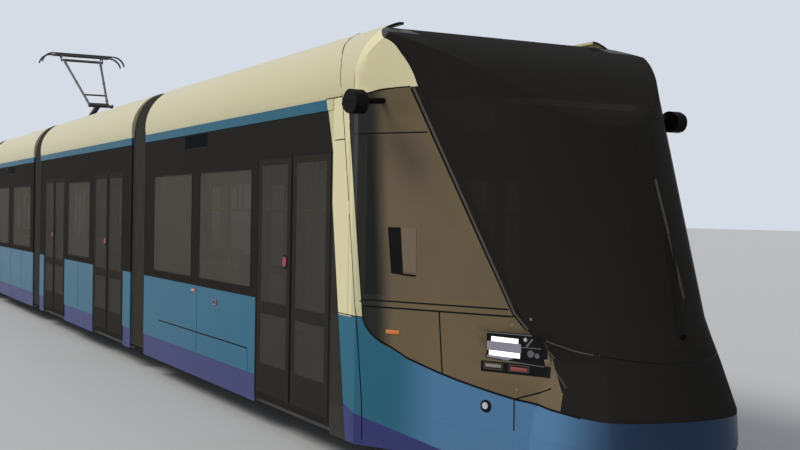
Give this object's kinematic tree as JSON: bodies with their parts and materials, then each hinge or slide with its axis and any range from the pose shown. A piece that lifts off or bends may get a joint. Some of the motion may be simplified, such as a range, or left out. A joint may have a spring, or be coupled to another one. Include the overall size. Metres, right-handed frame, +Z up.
{
  "type": "articulated tram",
  "caption": "Bidirectional low-floor articulated tram with raked cabs, bogies under the end and centre modules, suspended saloons between them and a raised single-arm pantograph.",
  "frame": {"origin": "under the middle of the centre module, on the plane that the wheel flanges stand on", "axes": "+X along the tram towards the leading cab, +Y to its left, +Z up"},
  "size_m": [36.28, 3.08, 5.0809],
  "materials": {
    "black_band": "gloss black paint",
    "door_black": "gloss black paint",
    "tinted_glass": "grey tinted glass",
    "blue_paint": "gloss mid blue paint",
    "cream_paint": "gloss cream paint",
    "mask_black": "gloss black paint",
    "bronze_trim": "gloss bronze brown paint",
    "ultramarine_paint": "satin ultramarine paint",
    "interior_trim": "satin moulded trim",
    "lamp_housing": "gloss black housing with clear lenses",
    "bogie_steel": "dark grey painted castings",
    "wheel_steel": "rolled steel, bright tread",
    "gaiter_rubber": "matt elastomer-coated fabric",
    "pantograph_steel": "dull painted tube",
    "carbon_strip": "carbon strip on aluminium carrier"
  },
  "bodies": {
    "centre": {"centre_sides": "black_band", "centre_glazing": "tinted_glass", "centre_panels": "blue_paint", "centre_roof": "cream_paint", "centre_underframe": "ultramarine_paint", "centre_interior": "interior_trim", "centre_bogie": "bogie_steel", "pantograph_base": "pantograph_steel", "gaiter_a_inner": "gaiter_rubber", "gaiter_b_inner": "gaiter_rubber"},
    "pantograph_lower": {"pantograph_lower_arm": "pantograph_steel"},
    "pantograph_rod": {"pantograph_thrust_rod": "pantograph_steel"},
    "pantograph_upper": {"pantograph_upper_arm": "pantograph_steel"},
    "pantograph_head": {"pantograph_head": "carbon_strip"},
    "saloon_a": {"saloon_a_sides": "black_band", "saloon_a_doors": "door_black", "saloon_a_glazing": "tinted_glass", "saloon_a_panels": "blue_paint", "saloon_a_roof": "cream_paint", "saloon_a_underframe": "ultramarine_paint", "saloon_a_interior": "interior_trim", "gaiter_a_outer": "gaiter_rubber"},
    "cab_a": {"cab_a_sides": "black_band", "cab_a_doors": "door_black", "cab_a_glazing": "tinted_glass", "cab_a_panels": "blue_paint", "cab_a_roof": "cream_paint", "cab_a_mask": "mask_black", "cab_a_cheeks": "bronze_trim", "cab_a_underframe": "ultramarine_paint", "cab_a_interior": "interior_trim", "cab_a_lamps": "lamp_housing", "cab_a_bogie": "bogie_steel"},
    "cab_a_wheelset_1": {"cab_a_wheelset_1": "wheel_steel"},
    "cab_a_wheelset_2": {"cab_a_wheelset_2": "wheel_steel"},
    "saloon_b": {"saloon_b_sides": "black_band", "saloon_b_doors": "door_black", "saloon_b_glazing": "tinted_glass", "saloon_b_panels": "blue_paint", "saloon_b_roof": "cream_paint", "saloon_b_underframe": "ultramarine_paint", "saloon_b_interior": "interior_trim", "gaiter_b_outer": "gaiter_rubber"},
    "cab_b": {"cab_b_sides": "black_band", "cab_b_doors": "door_black", "cab_b_glazing": "tinted_glass", "cab_b_panels": "blue_paint", "cab_b_roof": "cream_paint", "cab_b_mask": "mask_black", "cab_b_cheeks": "bronze_trim", "cab_b_underframe": "ultramarine_paint", "cab_b_interior": "interior_trim", "cab_b_lamps": "lamp_housing", "cab_b_bogie": "bogie_steel"},
    "cab_b_wheelset_1": {"cab_b_wheelset_1": "wheel_steel"},
    "cab_b_wheelset_2": {"cab_b_wheelset_2": "wheel_steel"},
    "centre_wheelset_1": {"centre_wheelset_1": "wheel_steel"},
    "centre_wheelset_2": {"centre_wheelset_2": "wheel_steel"}
  },
  "joints": [
    {"name": "articulation_a_inner", "type": "hinge", "parent": "centre", "child": "saloon_a", "pos_m": [2.725, 0, 0.228], "axis": [0, 0, 1], "range_deg": [-15, 15], "deforming": ["gaiter_a_inner"]},
    {"name": "articulation_a_outer", "type": "hinge", "parent": "saloon_a", "child": "cab_a", "pos_m": [9.475, 0, 0.228], "axis": [0, 0, 1], "range_deg": [-15, 15], "deforming": ["gaiter_a_outer"]},
    {"name": "cab_a_wheelset_1_roll", "type": "hinge", "parent": "cab_a", "child": "cab_a_wheelset_1", "pos_m": [12.815, 0, 0.328], "axis": [0, 1, 0], "continuous": true},
    {"name": "cab_a_wheelset_2_roll", "type": "hinge", "parent": "cab_a", "child": "cab_a_wheelset_2", "pos_m": [10.965, 0, 0.328], "axis": [0, 1, 0], "continuous": true},
    {"name": "articulation_b_inner", "type": "hinge", "parent": "centre", "child": "saloon_b", "pos_m": [-2.725, 0, 0.228], "axis": [0, 0, 1], "range_deg": [-15, 15], "deforming": ["gaiter_b_inner"]},
    {"name": "articulation_b_outer", "type": "hinge", "parent": "saloon_b", "child": "cab_b", "pos_m": [-9.475, 0, 0.228], "axis": [0, 0, 1], "range_deg": [-15, 15], "deforming": ["gaiter_b_outer"]},
    {"name": "cab_b_wheelset_1_roll", "type": "hinge", "parent": "cab_b", "child": "cab_b_wheelset_1", "pos_m": [-12.815, 0, 0.328], "axis": [0, 1, 0], "continuous": true},
    {"name": "cab_b_wheelset_2_roll", "type": "hinge", "parent": "cab_b", "child": "cab_b_wheelset_2", "pos_m": [-10.965, 0, 0.328], "axis": [0, 1, 0], "continuous": true},
    {"name": "centre_wheelset_1_roll", "type": "hinge", "parent": "centre", "child": "centre_wheelset_1", "pos_m": [0.925, 0, 0.328], "axis": [0, 1, 0], "continuous": true},
    {"name": "centre_wheelset_2_roll", "type": "hinge", "parent": "centre", "child": "centre_wheelset_2", "pos_m": [-0.925, 0, 0.328], "axis": [0, 1, 0], "continuous": true},
    {"name": "pantograph_raise", "type": "hinge", "parent": "centre", "child": "pantograph_lower", "pos_m": [-0.1, 0, 3.548], "axis": [0, -1, 0], "range_deg": [-10, 10]},
    {"name": "pantograph_elbow", "type": "hinge", "parent": "pantograph_lower", "child": "pantograph_upper", "pos_m": [1.54, 0, 3.963], "axis": [0, 1, 0], "range_deg": [-30, 30]},
    {"name": "pantograph_head_level", "type": "hinge", "parent": "pantograph_upper", "child": "pantograph_head", "pos_m": [0.06, 0, 4.958], "axis": [0, -1, 0], "range_deg": [-20, 20]},
    {"name": "pantograph_rod_swing", "type": "hinge", "parent": "centre", "child": "pantograph_rod", "pos_m": [0.5, 0, 3.568], "axis": [0, -1, 0], "range_deg": [-12.2, 12.2]}
  ],
  "couplings": [
    {"joint": "pantograph_elbow", "follows": "pantograph_raise", "ratio": 3},
    {"joint": "pantograph_head_level", "follows": "pantograph_raise", "ratio": 2},
    {"joint": "pantograph_rod_swing", "follows": "pantograph_raise", "ratio": 1.22}
  ]
}
